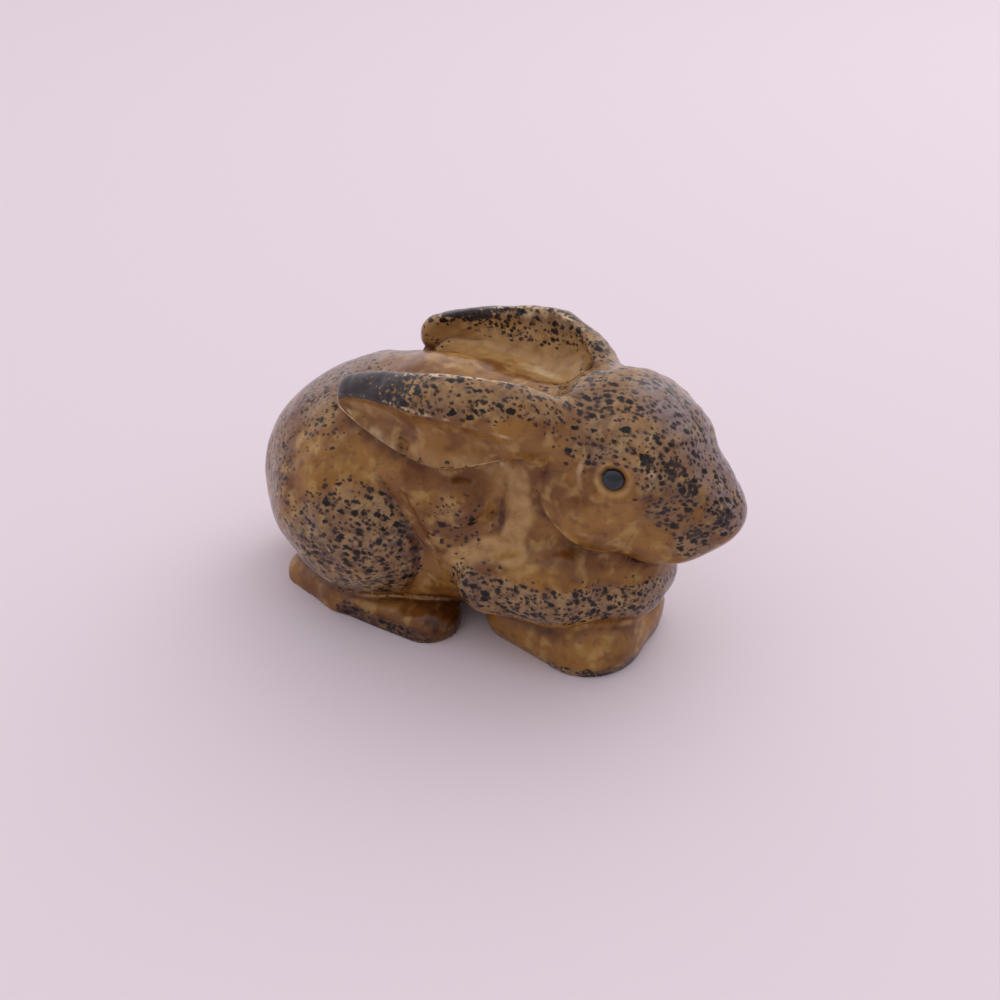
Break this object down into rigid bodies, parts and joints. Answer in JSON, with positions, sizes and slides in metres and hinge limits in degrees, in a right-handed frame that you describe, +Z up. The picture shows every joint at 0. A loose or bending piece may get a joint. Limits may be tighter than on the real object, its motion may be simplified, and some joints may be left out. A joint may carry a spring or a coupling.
{
  "type": "ceramic rabbit figurine",
  "caption": "Small crouching rabbit figurine of glazed stoneware with laid-back ears, a hollow body on a flat base and iron-speckled brown glaze.",
  "frame": {"origin": "middle of the footprint's box, on the surface the figurine stands on", "axes": "+X towards the nose, +Y to the rabbit's left, +Z up"},
  "size_m": [0.0708, 0.035, 0.0398],
  "materials": {
    "speckled_glaze": "glossy honey-brown stoneware glaze with dark iron specks",
    "black_glaze": "glossy blue-black glaze"
  },
  "bodies": {
    "root": {"body_shell": "speckled_glaze", "head_shell": "speckled_glaze", "tail": "speckled_glaze", "right_ear": "speckled_glaze", "left_ear": "speckled_glaze", "right_haunch": "speckled_glaze", "left_haunch": "speckled_glaze", "right_hind_foot": "speckled_glaze", "left_hind_foot": "speckled_glaze", "right_foreleg": "speckled_glaze", "left_foreleg": "speckled_glaze", "right_forepaw": "speckled_glaze", "left_forepaw": "speckled_glaze", "right_eye": "black_glaze", "left_eye": "black_glaze"}
  },
  "joints": []
}
